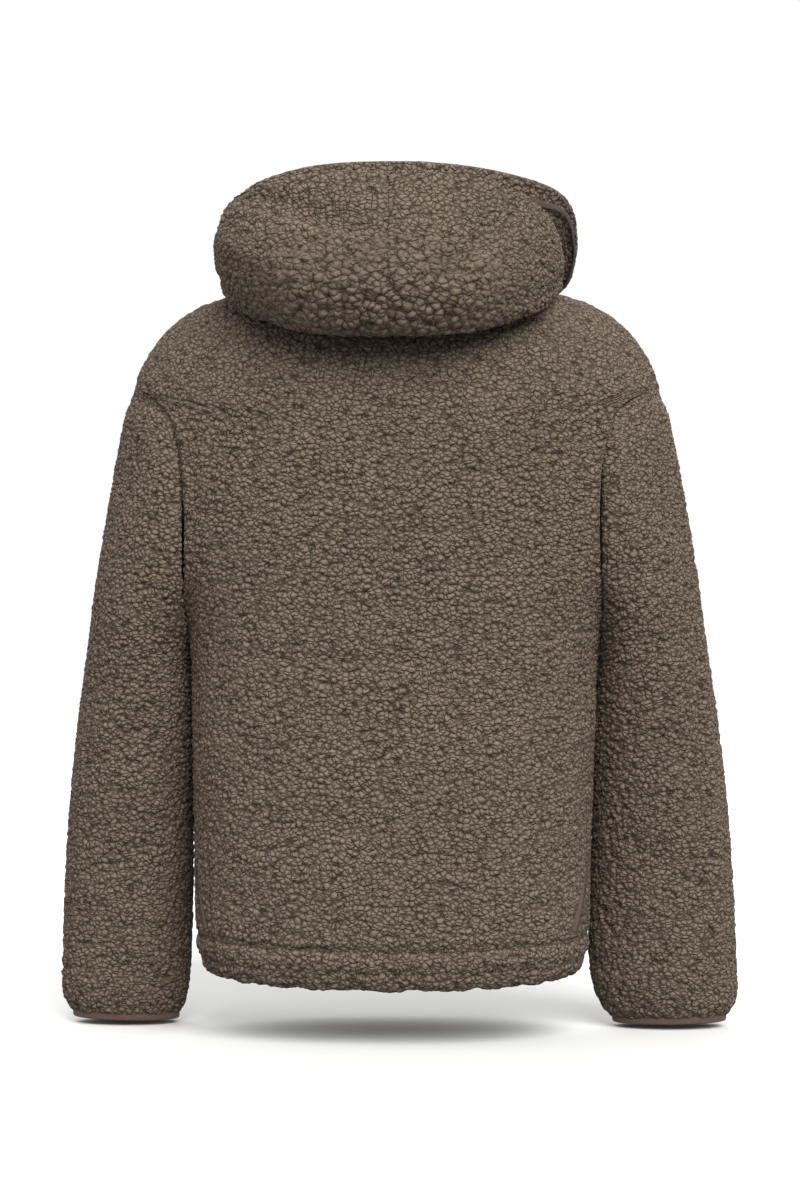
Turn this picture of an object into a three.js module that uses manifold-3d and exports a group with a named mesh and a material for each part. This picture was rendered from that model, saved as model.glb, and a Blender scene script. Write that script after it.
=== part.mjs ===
import * as THREE from "three";
import { mergeVertices } from "three/addons/utils/BufferGeometryUtils.js";
import Module from "manifold-3d";

// Sherpa fleece pullover with its hood down, in its worn shape and hollow.
// Millimetres, +Z up. The garment faces -Y, its back faces +Y and the wearer's left is +X.
// The origin is in the middle of the neck opening, level with the shoulders at the neck.

// Cloth
const CLOTH = 5;
const HEM_CLOTH = 9;
const SEAM_GAP = 0.3;
const STITCH_SINK = 1.6;

// Heights above the hem edge, measured along the cloth
const HEM_LINE = 42;
const UNDERARM = 343;
const SHOULDER_TIP = 585;
const NECK = 700;

// The body from hem to neck. The side columns follow the side, the dropped shoulder and the neck point.
// seam is how many degrees the side and shoulder seams lie towards the back.
const BODY = [
  { rise: 0, midX: 2.5, sideX: 184, sideY: -4, sideZ: -681, backY: 112, backZ: -688, frontY: -118, frontZ: -687, square: 2.4, seam: 30 },
  { rise: 20, midX: 2.5, sideX: 193, sideY: -4, sideZ: -664, backY: 123, backZ: -669, frontY: -129, frontZ: -668, square: 2.4, seam: 30 },
  { rise: 42, midX: 2.5, sideX: 197, sideY: -4, sideZ: -641, backY: 126, backZ: -646, frontY: -132, frontZ: -645, square: 2.4, seam: 30 },
  { rise: 120, midX: 2.5, sideX: 198.5, sideY: -4, sideZ: -563, backY: 130, backZ: -568, frontY: -136, frontZ: -567, square: 2.4, seam: 29 },
  { rise: 230, midX: 1.5, sideX: 201.5, sideY: -4, sideZ: -452, backY: 131, backZ: -457, frontY: -140, frontZ: -456, square: 2.4, seam: 20 },
  { rise: 343, midX: 0, sideX: 208, sideY: -6, sideZ: -339, backY: 131, backZ: -347, frontY: -143, frontZ: -347, square: 2.35, seam: 6 },
  { rise: 430, midX: 0, sideX: 235, sideY: -10, sideZ: -255, backY: 132, backZ: -268, frontY: -144, frontZ: -272, square: 2.25, seam: 6 },
  { rise: 515, midX: 0, sideX: 256, sideY: -16, sideZ: -170, backY: 131, backZ: -193, frontY: -142, frontZ: -205, square: 2.2, seam: 7 },
  { rise: 585, midX: 0, sideX: 264, sideY: -20, sideZ: -97, backY: 127, backZ: -130, frontY: -136, frontZ: -154, square: 2.15, seam: 9 },
  { rise: 622, midX: 0, sideX: 241, sideY: -18, sideZ: -50, backY: 120, backZ: -91, frontY: -128, frontZ: -126, square: 2.1, seam: 10 },
  { rise: 650, midX: 0, sideX: 203, sideY: -15, sideZ: -18, backY: 109, backZ: -57, frontY: -118, frontZ: -101, square: 2.1, seam: 11 },
  { rise: 676, midX: 0, sideX: 146, sideY: -11, sideZ: 0, backY: 91, backZ: -23, frontY: -101, frontZ: -80, square: 2.05, seam: 12 },
  { rise: 700, midX: 0, sideX: 90, sideY: -8, sideZ: 7, backY: 66, backZ: 6, frontY: -84, frontZ: -61, square: 2, seam: 12 },
];

// How far the armhole opens to the back and to the front of the seam, in degrees
const ARMHOLE = [
  { rise: UNDERARM, back: 0, front: 0 },
  { rise: 350, back: 5, front: 8 },
  { rise: 380, back: 14, front: 21 },
  { rise: 415, back: 23, front: 31 },
  { rise: 480, back: 30, front: 36 },
  { rise: 545, back: 30, front: 33 },
  { rise: 575, back: 22, front: 22 },
  { rise: SHOULDER_TIP, back: 0, front: 0 },
];

// Sleeve rings from armhole to cuff, each spanned by its outer point, its inner point and its half depth
const SLEEVE = [
  { along: 0, outX: 264, outZ: -97, inLeft: 208, inRight: 208, inZ: -339, midY: -12, half: 76 },
  { along: 0.12, outX: 272, outZ: -138, inLeft: 214, inRight: 214, inZ: -346, midY: -13, half: 79 },
  { along: 0.25, outX: 283, outZ: -200, inLeft: 216, inRight: 214, inZ: -359, midY: -16, half: 80 },
  { along: 0.38, outX: 296, outZ: -280, inLeft: 216, inRight: 211, inZ: -378, midY: -20, half: 78 },
  { along: 0.5, outX: 308, outZ: -360, inLeft: 214, inRight: 207, inZ: -412, midY: -25, half: 72 },
  { along: 0.62, outX: 320, outZ: -440, inLeft: 212, inRight: 203, inZ: -466, midY: -31, half: 64 },
  { along: 0.74, outX: 330, outZ: -528, inLeft: 212, inRight: 200, inZ: -538, midY: -38, half: 55 },
  { along: 0.85, outX: 336, outZ: -612, inLeft: 213, inRight: 198, inZ: -616, midY: -45, half: 46 },
  { along: 0.93, outX: 339, outZ: -678, inLeft: 216, inRight: 199, inZ: -680, midY: -50, half: 40 },
  { along: 0.975, outX: 339, outZ: -712, inLeft: 220, inRight: 208, inZ: -714, midY: -53, half: 36 },
  { along: 1, outX: 329, outZ: -727, inLeft: 228, inRight: 222, inZ: -729, midY: -54, half: 28 },
];
const CAP_END = 0.42;
const CAP_RISE_END = 0.1;

// The overarm crease, stronger on the right sleeve
const CREASE = [
  { along: 0.1, turn: 10 },
  { along: 0.3, turn: 16 },
  { along: 0.6, turn: 37 },
  { along: 1, turn: 43 },
];
const CREASE_SPREAD = 8;
const CREASE_LEFT = 0.8;
const CREASE_RIGHT = 2.6;

// Smooth binding round each cuff
const BINDING_DEEP = 8;
const BINDING_THICK = 4.5;
const BINDING_INSET = 0.8;

// The lowered hood, as profiles at stations from the middle of the back (0) to the middle of the front (180).
// Each profile runs from the neck seam over a short stand, down to the foot that lies on the back,
// up the outer side to the top fold, down into a dip and up to the rim of the face opening.
const HOOD_CENTRE_Y = -8;
const HOOD_LEAN = 3;
const RIM_LEAN = 5;
const HOOD_STAND = 14;
const HOOD = [
  { turn: 0, rollR: 92, rollZ: 26, underR: 128, underZ: -14, footR: 158, footZ: -61, bulgeR: 196, bulgeZ: -27, backR: 205, backZ: 34, topR: 179, topZ: 95, dipR: 162, dipZ: 60, rimR: 150, rimZ: 109 },
  { turn: 30, rollR: 96, rollZ: 26, underR: 132, underZ: -10, footR: 165, footZ: -55, bulgeR: 203, bulgeZ: -18, backR: 211, backZ: 36, topR: 190, topZ: 93, dipR: 172, dipZ: 60, rimR: 160, rimZ: 107 },
  { turn: 52, rollR: 100, rollZ: 25, underR: 137, underZ: 2, footR: 176, footZ: -34, bulgeR: 202, bulgeZ: 2, backR: 206, backZ: 42, topR: 191, topZ: 80, dipR: 176, dipZ: 58, rimR: 171, rimZ: 97 },
  { turn: 72, rollR: 102, rollZ: 24, underR: 140, underZ: 10, footR: 172, footZ: -12, bulgeR: 184, bulgeZ: 10, backR: 186, backZ: 34, topR: 180, topZ: 60, dipR: 171, dipZ: 56, rimR: 172, rimZ: 84 },
  { turn: 92, rollR: 104, rollZ: 20, underR: 138, underZ: 12, footR: 164, footZ: -2, bulgeR: 172, bulgeZ: 8, backR: 175, backZ: 24, topR: 176, topZ: 40, dipR: 177, dipZ: 52, rimR: 180, rimZ: 68 },
  { turn: 104, rollR: 105, rollZ: 15, underR: 135, underZ: 9, footR: 160, footZ: -5, bulgeR: 169, bulgeZ: 1, backR: 174, backZ: 10, topR: 178, topZ: 20, dipR: 181, dipZ: 28, rimR: 185, rimZ: 40 },
  { turn: 116, rollR: 105, rollZ: 8, underR: 130, underZ: 4, footR: 152, footZ: -10, bulgeR: 161, bulgeZ: -9, backR: 167, backZ: -5, topR: 171, topZ: 0, dipR: 173, dipZ: 5, rimR: 176, rimZ: 12 },
  { turn: 146, rollR: 104, rollZ: -26, underR: 116, underZ: -32, footR: 127, footZ: -44, bulgeR: 134, bulgeZ: -43, backR: 138, backZ: -39, topR: 141, topZ: -34, dipR: 142, dipZ: -30, rimR: 143, rimZ: -22 },
  { turn: 180, rollR: 93, rollZ: -45, underR: 99, underZ: -51, footR: 106, footZ: -57, bulgeR: 110, bulgeZ: -56, backR: 113, backZ: -52, topR: 115, topZ: -47, dipR: 116, dipZ: -43, rimR: 116, rimZ: -36 },
];

// On the right the hood has slid round, so its pouch is narrower there and its rim stands out past it
const RIGHT_SHAPE = {
  30: { bulgeR: 199, backR: 205, topR: 185, topZ: 88, dipR: 169, rimZ: 104 },
  52: { bulgeR: 192, backR: 194, topR: 180, topZ: 70, dipR: 169, dipZ: 56, rimR: 175, rimZ: 93 },
  72: { footR: 166, bulgeR: 174, backR: 174, backZ: 32, topR: 167, topZ: 50, dipR: 165, dipZ: 58, rimR: 176 },
  92: { footR: 160, bulgeR: 165, backR: 166, topR: 164, topZ: 36, dipR: 167, dipZ: 47, rimR: 180, rimZ: 64 },
  104: { footR: 156, bulgeR: 163, backR: 166, topR: 169, dipR: 174, rimR: 187 },
  116: { rimR: 188, rimZ: 8 },
};
const HOOD_SIDES = { 1: HOOD, [-1]: HOOD.map((row) => ({ ...row, ...RIGHT_SHAPE[row.turn] })) };
const HOOD_KNOTS = { stand: 0.05, roll: 0.12, under: 0.24, foot: 0.36, bulge: 0.48, back: 0.6, top: 0.74, dip: 0.86, rim: 1 };

// Smooth tape sewn round the hood's hem, on the side that faces back
const TAPE = { from: 0.925, to: 0.955, thick: 1.5 };

// Slanted side pockets, each a slit with a smooth welt, from the hem line up towards the front.
// The slit gapes at its low end and is nearly shut above.
const POCKET = { lowTurn: 26, lowRise: 47, highTurn: -8, highRise: 192, wide: 5, narrow: 1.4, recess: 2.2, thick: 2.4 };

// Soft folds pressed into the body, from one end to the other, in degrees round the body and height
const BODY_FOLDS = [
  { fromTurn: 52, fromRise: 322, toTurn: 118, toRise: 318, width: 13, depth: 1.6 },
  { fromTurn: 44, fromRise: 328, toTurn: 30, toRise: 246, width: 15, depth: 2 },
  { fromTurn: 128, fromRise: 330, toTurn: 146, toRise: 262, width: 14, depth: 1.5 },
  { fromTurn: -58, fromRise: 300, toTurn: -112, toRise: 306, width: 14, depth: 1.6 },
  { fromTurn: -40, fromRise: 330, toTurn: -26, toRise: 236, width: 15, depth: 2 },
  { fromTurn: -140, fromRise: 322, toTurn: -156, toRise: 250, width: 15, depth: 1.8 },
];

// Soft folds across the sleeves, as turns from the overarm through the back and places along the sleeve
const SLEEVE_FOLDS = [
  { fromTurn: 60, fromAlong: 0.47, toTurn: 120, toAlong: 0.38, width: 11, depth: 2.2 },
  { fromTurn: 44, fromAlong: 0.68, toTurn: 112, toAlong: 0.58, width: 12, depth: 2.8 },
  { fromTurn: 62, fromAlong: 0.82, toTurn: 130, toAlong: 0.74, width: 11, depth: 2.2 },
  { fromTurn: 232, fromAlong: 0.56, toTurn: 300, toAlong: 0.66, width: 12, depth: 2.6 },
  { fromTurn: 226, fromAlong: 0.4, toTurn: 290, toAlong: 0.46, width: 11, depth: 2 },
];

const degrees = THREE.MathUtils.degToRad;
const mix = THREE.MathUtils.lerp;

// One named column of a table at a place, on a smooth curve through its rows
function column(table, key, name, at, flatEnds = false) {
  const last = table.length - 1;
  let i = 0;
  while (i < last - 1 && at > table[i + 1][key]) i += 1;
  const slope = (k) => {
    if (flatEnds && (k === 0 || k === last)) return 0;
    const a = Math.max(k - 1, 0);
    const b = Math.min(k + 1, last);
    return (table[b][name] - table[a][name]) / (table[b][key] - table[a][key]);
  };
  const span = table[i + 1][key] - table[i][key];
  const t = (at - table[i][key]) / span;
  const t2 = t * t;
  const t3 = t2 * t;
  return (
    (2 * t3 - 3 * t2 + 1) * table[i][name] +
    (t3 - 2 * t2 + t) * span * slope(i) +
    (3 * t2 - 2 * t3) * table[i + 1][name] +
    (t3 - t2) * span * slope(i + 1)
  );
}

const power = (value, exponent) => Math.sign(value) * Math.abs(value) ** exponent;

const smooth = (from, to, at) => THREE.MathUtils.smoothstep(at, from, to);

// Even steps from one number to another, both ends in
function steps(from, to, count) {
  return Array.from({ length: count + 1 }, (_, i) => mix(from, to, i / count));
}

// Runs of steps end to end, each run given as where it stops and its count
function runs(from, ...parts) {
  const made = [from];
  for (const [to, count] of parts) made.push(...steps(made.at(-1), to, count).slice(1));
  return made;
}

// Depth of the soft folds at a place on the cloth; scale turns both coordinates into millimetres
function foldDepth(folds, at, ends, scale) {
  let sum = 0;
  for (const fold of folds) {
    const [a, b] = ends(fold);
    const ab = b.clone().sub(a).multiply(scale);
    const ap = at.clone().sub(a).multiply(scale);
    const t = THREE.MathUtils.clamp(ap.dot(ab) / ab.lengthSq(), 0, 1);
    const away = ap.addScaledVector(ab, -t).length() / fold.width;
    sum += fold.depth * Math.exp(-away * away) * (1 - 0.5 * Math.abs(2 * t - 1));
  }
  return sum;
}

// A point of the body's outer skin. turn is 0 at the wearer's left side and 90 degrees at the back.
function bodyForm(turn, rise) {
  const at = (name) => column(BODY, "rise", name, rise);
  const round = 2 / at("square");
  const across = power(Math.cos(turn), round);
  const deep = power(Math.sin(turn), round);
  const [endY, endZ] = deep > 0 ? ["backY", "backZ"] : ["frontY", "frontZ"];
  const sideY = at("sideY");
  const sideZ = at("sideZ");
  return new THREE.Vector3(
    at("midX") + at("sideX") * across,
    sideY + (at(endY) - sideY) * Math.abs(deep),
    sideZ + (at(endZ) - sideZ) * deep * deep,
  );
}

// The outward normal of a skin, from small steps to both sides
function normalOf(form, u, v, stepU, stepV) {
  const du = form(u + stepU, v).sub(form(u - stepU, v));
  const dv = form(u, v + stepV).sub(form(u, v - stepV));
  return du.cross(dv).normalize();
}

// The body's skin with its folds and stitch line, moved out by some millimetres
function bodySkin(turn, rise, out = 0) {
  const inside = THREE.MathUtils.clamp(rise, 1, NECK - 1);
  const normal = normalOf(bodyForm, turn, inside, 0.004, 1);
  if (rise <= 0 || rise >= NECK) normal.setZ(0).normalize();
  const place = new THREE.Vector2(THREE.MathUtils.radToDeg(turn), rise);
  const ends = (f) => [new THREE.Vector2(f.fromTurn, f.fromRise), new THREE.Vector2(f.toTurn, f.toRise)];
  const fold = foldDepth(BODY_FOLDS, place, ends, new THREE.Vector2(2.9, 1));
  const stitch = STITCH_SINK * Math.exp(-(((rise - HEM_LINE) / 5) ** 2));
  return bodyForm(turn, rise).addScaledVector(normal, out - fold - stitch);
}

// Half of the seam gap as a turn, where the body is
function gapTurn(turn, rise) {
  const step = 0.01;
  const reach = bodyForm(turn + step, rise).distanceTo(bodyForm(turn - step, rise));
  return ((SEAM_GAP / 2) * 2 * step) / reach;
}

// Turn of the armhole's edge on the back or front of the left side; with no armhole it is the seam
function edgeTurn(rise, isBack) {
  const seam = degrees(column(BODY, "rise", "seam", rise));
  if (rise <= UNDERARM || rise >= SHOULDER_TIP) return seam;
  return isBack
    ? seam + degrees(Math.max(0, column(ARMHOLE, "rise", "back", rise)))
    : seam - degrees(Math.max(0, column(ARMHOLE, "rise", "front", rise)));
}

// A closed wall of cloth: an outer skin over a grid, an inner one, and the edges between them.
// The inner skin is given, or it is the outer skin moved in, with the side edges in planes across X.
function clothWall({ skin, across, along, thickness, joined = false, facing = 1, inside = null }) {
  const wide = across.length;
  const tall = along.length;
  const outer = along.map((v) => across.map((u) => skin(u, v)));
  const lap = (i) => (i + wide) % wide;
  const inner = outer.map((row, j) =>
    row.map((point, i) => {
      if (inside) return inside(across[i], along[j]);
      const left = joined ? row[lap(i - 1)] : row[Math.max(i - 1, 0)];
      const right = joined ? row[lap(i + 1)] : row[Math.min(i + 1, wide - 1)];
      const below = outer[Math.max(j - 1, 0)][i];
      const above = outer[Math.min(j + 1, tall - 1)][i];
      const normal = right.clone().sub(left).cross(above.clone().sub(below)).normalize();
      if (j === 0) normal.setZ(0);
      if (i === 0 || i === wide - 1) normal.setX(0);
      normal.normalize();
      return point.clone().addScaledVector(normal, -facing * thickness(across[i], along[j]));
    }),
  );
  const points = [...outer.flat(), ...inner.flat()];
  const index = [];
  const quad = (a, b, c, d) => index.push(...(facing > 0 ? [a, b, c, a, c, d] : [a, c, b, a, d, c]));
  const at = (layer, i, j) => layer * wide * tall + j * wide + lap(i);
  const cells = joined ? wide : wide - 1;
  for (let j = 0; j < tall - 1; j += 1) {
    for (let i = 0; i < cells; i += 1) {
      quad(at(0, i, j), at(0, i + 1, j), at(0, i + 1, j + 1), at(0, i, j + 1));
      quad(at(1, i, j), at(1, i, j + 1), at(1, i + 1, j + 1), at(1, i + 1, j));
    }
    if (!joined) {
      quad(at(0, 0, j), at(0, 0, j + 1), at(1, 0, j + 1), at(1, 0, j));
      quad(at(0, wide - 1, j), at(1, wide - 1, j), at(1, wide - 1, j + 1), at(0, wide - 1, j + 1));
    }
  }
  for (let i = 0; i < cells; i += 1) {
    quad(at(0, i, 0), at(1, i, 0), at(1, i + 1, 0), at(0, i + 1, 0));
    quad(at(0, i, tall - 1), at(0, i + 1, tall - 1), at(1, i + 1, tall - 1), at(1, i, tall - 1));
  }
  const geometry = new THREE.BufferGeometry().setFromPoints(points);
  geometry.setIndex(index);
  return geometry;
}

// Turns of the sleeve's columns from the overarm to the underarm, closer where the armhole turns a corner
const SLEEVE_COLUMNS = [0, 7, 14, 22, 32, 45, 61, 78, 95, 112, 129, 146, 163, 180].map(degrees);

// The height of the armhole loop's points. turn is 0 at the shoulder tip and 90 degrees at the back.
function armholeRise(turn) {
  return mix(UNDERARM, SHOULDER_TIP, (1 + Math.cos(turn)) / 2);
}

// Front and back panels
const PANEL_STEPS = 20;
const FIXED_TURN = degrees(46);
const EDGE_SHARE = 0.2;
const LOW_ROWS = runs(0, [30, 3], [HEM_LINE, 2], [54, 2], [UNDERARM, 10]);
const ARMHOLE_ROWS = SLEEVE_COLUMNS.map(armholeRise).reverse().slice(1);
const YOKE_ROWS = steps(SHOULDER_TIP, NECK, 6).slice(1);
const PANEL_ROWS = [...LOW_ROWS, ...ARMHOLE_ROWS, ...YOKE_ROWS];
const bodyThickness = (rise) => mix(HEM_CLOTH, CLOTH, smooth(HEM_LINE - 4, HEM_LINE + 4, rise));

// grown is how far the panel reaches past its own faces, for cutting what meets it
function bodyPanel(isBack, grown = 0) {
  const away = isBack ? 1 : -1;
  const turnAt = (share, rise) => {
    const edge = away * edgeTurn(rise, isBack);
    const start = edge + gapTurn(away * edge, rise) * (1 - (2 * grown) / SEAM_GAP);
    const half = Math.min(share, 1 - share);
    const turn =
      half < EDGE_SHARE
        ? mix(start, FIXED_TURN, half / EDGE_SHARE)
        : mix(FIXED_TURN, Math.PI / 2, (half - EDGE_SHARE) / (0.5 - EDGE_SHARE));
    return away * (share > 0.5 ? Math.PI - turn : turn);
  };
  const skin = (share, rise) => bodySkin(turnAt(share, rise), rise, grown);
  const inside = (share, rise) => bodySkin(turnAt(share, rise), rise, -grown - bodyThickness(rise));
  return clothWall({
    skin,
    across: steps(0, 1, PANEL_STEPS),
    along: PANEL_ROWS,
    inside,
    facing: away,
  });
}

// A point of the armhole loop on the wearer's left
function armholePoint(turn) {
  const rise = armholeRise(turn);
  return bodySkin(edgeTurn(rise, Math.sin(turn) >= 0), rise);
}

// A ring of the sleeve before it meets the armhole
function sleeveRing(side, turn, along) {
  const at = (name) => column(SLEEVE, "along", name, along);
  const across = (Math.cos(turn) + 1) / 2;
  return new THREE.Vector3(
    mix(at(side > 0 ? "inLeft" : "inRight"), at("outX"), across),
    at("midY") + at("half") * Math.sin(turn),
    mix(at("inZ"), at("outZ"), across),
  );
}

// The sleeve's form: the armhole loop fades into plain rings
function sleeveForm(side, turn, along) {
  const fade = 1 - smooth(0, CAP_END, along);
  const point = sleeveRing(side, turn, along);
  if (fade > 0) point.addScaledVector(armholePoint(turn).sub(sleeveRing(side, turn, 0)), fade);
  return point;
}

// A point of the sleeve's skin on side 1 (left) or -1 (right), with its folds and crease.
// Turns run towards the back and places run down, so the outward normal is the opposite one.
function sleeveSkin(side, turn, along, out = 0) {
  const form = (u, v) => sleeveForm(side, u, v);
  const normal = normalOf(form, turn, THREE.MathUtils.clamp(along, 0.01, 0.99), 0.02, 0.01).negate();
  if (along >= 1) normal.setZ(0).normalize();
  const around = THREE.MathUtils.radToDeg(turn);
  const place = new THREE.Vector2(around, along);
  const ends = (f) => [new THREE.Vector2(f.fromTurn, f.fromAlong), new THREE.Vector2(f.toTurn, f.toAlong)];
  const fold = foldDepth(SLEEVE_FOLDS, place, ends, new THREE.Vector2(1.25, 640));
  const aside = (around - column(CREASE, "along", "turn", Math.max(along, 0.1))) / CREASE_SPREAD;
  const crease = (side > 0 ? CREASE_LEFT : CREASE_RIGHT) * Math.exp(-aside * aside);
  const settled = smooth(0, 0.2, along) * (1 - smooth(0.9, 1, along));
  const moved = out + (crease - fold) * settled;
  const point = sleeveForm(side, turn, along).addScaledVector(normal, moved);
  return point.setX(point.x * side);
}

const mirror = (point, side) => new THREE.Vector3(point.x * side, point.y, point.z);

const SLEEVE_TURNS = [
  ...SLEEVE_COLUMNS,
  ...SLEEVE_COLUMNS.slice(1, -1).reverse().map((turn) => 2 * Math.PI - turn),
];
const SLEEVE_ROWS = runs(0, [0.42, 7], [0.9, 9], [1, 4]);

// The cloth is level with the body at the armhole, and lies outside the form further down
const capRise = (along) => CLOTH * smooth(0, CAP_RISE_END, along);

function sleeve(side) {
  return clothWall({
    skin: (turn, along) => sleeveSkin(side, turn, along, capRise(along)),
    inside: (turn, along) => sleeveSkin(side, turn, along, capRise(along) - CLOTH),
    across: SLEEVE_TURNS,
    along: SLEEVE_ROWS,
    joined: true,
    facing: -side,
  });
}

// The binding goes on below the end of the sleeve
function cuffBinding(side) {
  const wall = (inset) => (turn, drop) => {
    const point = sleeveSkin(side, turn, 1, CLOTH - inset);
    return point.setZ(point.z - SEAM_GAP - drop);
  };
  return clothWall({
    skin: wall(BINDING_INSET),
    inside: wall(BINDING_INSET + BINDING_THICK),
    across: SLEEVE_TURNS,
    along: steps(0, BINDING_DEEP, 2),
    joined: true,
    facing: -side,
  });
}

// A point of the lowered hood's outer skin on one side, before it is mirrored there
function hoodForm(side, turn, along) {
  const at = (name) => column(HOOD_SIDES[side], "turn", name, THREE.MathUtils.radToDeg(turn), true);
  const seam = bodyForm(Math.PI / 2 - turn, NECK);
  seam.z += 1.5 * SEAM_GAP;
  const standing = seam.clone();
  standing.z += HOOD_STAND;
  const rows = [
    { along: 0, x: seam.x, y: seam.y, z: seam.z },
    { along: HOOD_KNOTS.stand, x: standing.x, y: standing.y, z: standing.z },
  ];
  for (const name of ["roll", "under", "foot", "bulge", "back", "top", "dip", "rim"]) {
    const radius = at(name + "R");
    rows.push({
      along: HOOD_KNOTS[name],
      x: radius * Math.sin(turn),
      y: HOOD_CENTRE_Y + radius * Math.cos(turn),
      z: at(name + "Z"),
    });
  }
  const place = (name) => column(rows, "along", name, along);
  return new THREE.Vector3(place("x"), place("y"), place("z"));
}

const HOOD_TURNS = runs(0, [degrees(90 - BODY.at(-1).seam), PANEL_STEPS / 2], [Math.PI, PANEL_STEPS / 2]);
const HOOD_ROWS = runs(0, [HOOD_KNOTS.roll, 3], [HOOD_KNOTS.top, 12], [TAPE.from, 5], [TAPE.to, 1], [1, 2]);
const hoodThickness = (_, along) => mix(CLOTH, HEM_CLOTH, smooth(TAPE.from, TAPE.to, along));

// The hood's skin on one side, leaning, with half the seam gap left in the middle
function hoodSkin(side, turn, along) {
  const point = mirror(hoodForm(side, turn, along), side);
  if (Math.abs(point.x) < SEAM_GAP / 2) point.x = (side * SEAM_GAP) / 2;
  const lean = HOOD_LEAN * smooth(0, HOOD_KNOTS.foot, along) + RIM_LEAN * smooth(HOOD_KNOTS.top, 1, along);
  point.x -= lean * Math.cos(turn / 2) ** 2;
  return point;
}

function hoodHalf(side) {
  return clothWall({
    skin: (turn, along) => hoodSkin(side, turn, along),
    across: HOOD_TURNS,
    along: HOOD_ROWS,
    thickness: hoodThickness,
    facing: -side,
  });
}

// The tape on the hood's hem, from the hood's own points moved out
function hoodTape(side) {
  const lifted = (out) => (turn, along) => {
    const spot = THREE.MathUtils.clamp(turn, 0.02, Math.PI - 0.02);
    const normal = normalOf((u, v) => hoodSkin(side, u, v), spot, along, 0.01, 0.004);
    if (turn !== spot) normal.setX(0).normalize();
    return hoodSkin(side, turn, along).addScaledVector(normal, -side * out);
  };
  return clothWall({
    skin: lifted(SEAM_GAP + TAPE.thick),
    inside: lifted(SEAM_GAP),
    across: HOOD_TURNS,
    along: [TAPE.from, TAPE.to],
    facing: -side,
  });
}

// The strip of a pocket mouth on the body's skin, between two depths, from its low end to its high end
function pocketStrip(side, grown, outer, inner) {
  const trim = 0.02 - grown / 170;
  const spot = (share) => {
    const turn = degrees(mix(POCKET.lowTurn, POCKET.highTurn, share));
    return [side > 0 ? turn : Math.PI - turn, mix(POCKET.lowRise, POCKET.highRise, share)];
  };
  const wall = (out) => (share, sideways) => {
    const [turn, rise] = spot(share);
    const run = bodyForm(...spot(share + 0.01)).sub(bodyForm(turn, rise)).normalize();
    const normal = normalOf(bodyForm, turn, rise, 0.004, 1);
    const half = grown + mix(POCKET.wide, POCKET.narrow, smooth(0.2, 0.42, share)) * smooth(-0.12, 0.06, share);
    return bodySkin(turn, rise, out).addScaledVector(run.cross(normal), sideways * half);
  };
  return clothWall({
    skin: wall(outer),
    inside: wall(inner),
    across: steps(trim, 1 - trim, 12),
    along: [-1, 1],
    facing: -1,
  });
}

const wasm = await Module();
wasm.setup();

function solidOf(geometry) {
  const merged = mergeVertices(geometry, 1e-4);
  const solid = new wasm.Manifold(
    new wasm.Mesh({
      numProp: 3,
      vertProperties: merged.attributes.position.array,
      triVerts: new Uint32Array(merged.index.array),
    }),
  );
  return solid;
}

function geometryOf(solid) {
  const mesh = solid.getMesh();
  const geometry = new THREE.BufferGeometry();
  geometry.setAttribute("position", new THREE.BufferAttribute(mesh.vertProperties, 3));
  geometry.setIndex(new THREE.BufferAttribute(mesh.triVerts, 1));
  return geometry;
}

// A sleeve trimmed where its seam meets the panels
function trimmedSleeve(side) {
  let cloth = solidOf(sleeve(side));
  for (const isBack of [true, false]) cloth = cloth.subtract(solidOf(bodyPanel(isBack, SEAM_GAP)));
  const bodies = cloth.decompose().sort((a, b) => b.volume() - a.volume());
  return geometryOf(bodies[0]);
}

// The front with a slit cut through it for each pocket welt
function frontWithSlits() {
  let front = solidOf(bodyPanel(false));
  for (const side of [1, -1]) {
    front = front.subtract(solidOf(pocketStrip(side, SEAM_GAP, CLOTH, -CLOTH * 2)));
  }
  return geometryOf(front);
}

const fleece = new THREE.MeshStandardMaterial({ color: 0x6e6254, roughness: 1, metalness: 0 });
const binding = new THREE.MeshStandardMaterial({ color: 0x5a463c, roughness: 0.85, metalness: 0 });

const pullover = new THREE.Group();

function add(name, geometry, material) {
  const mesh = new THREE.Mesh(geometry, material);
  mesh.name = name;
  pullover.add(mesh);
}

add("back", bodyPanel(true), fleece);
add("front", frontWithSlits(), fleece);
for (const [label, side] of [["left", 1], ["right", -1]]) {
  add(`sleeve_${label}`, trimmedSleeve(side), fleece);
  add(`cuff_binding_${label}`, cuffBinding(side), binding);
  add(`hood_${label}`, hoodHalf(side), fleece);
  add(`hood_tape_${label}`, hoodTape(side), binding);
  add(`pocket_welt_${label}`, pocketStrip(side, 0, -POCKET.recess, -POCKET.recess - POCKET.thick), binding);
}

export default pullover;
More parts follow.
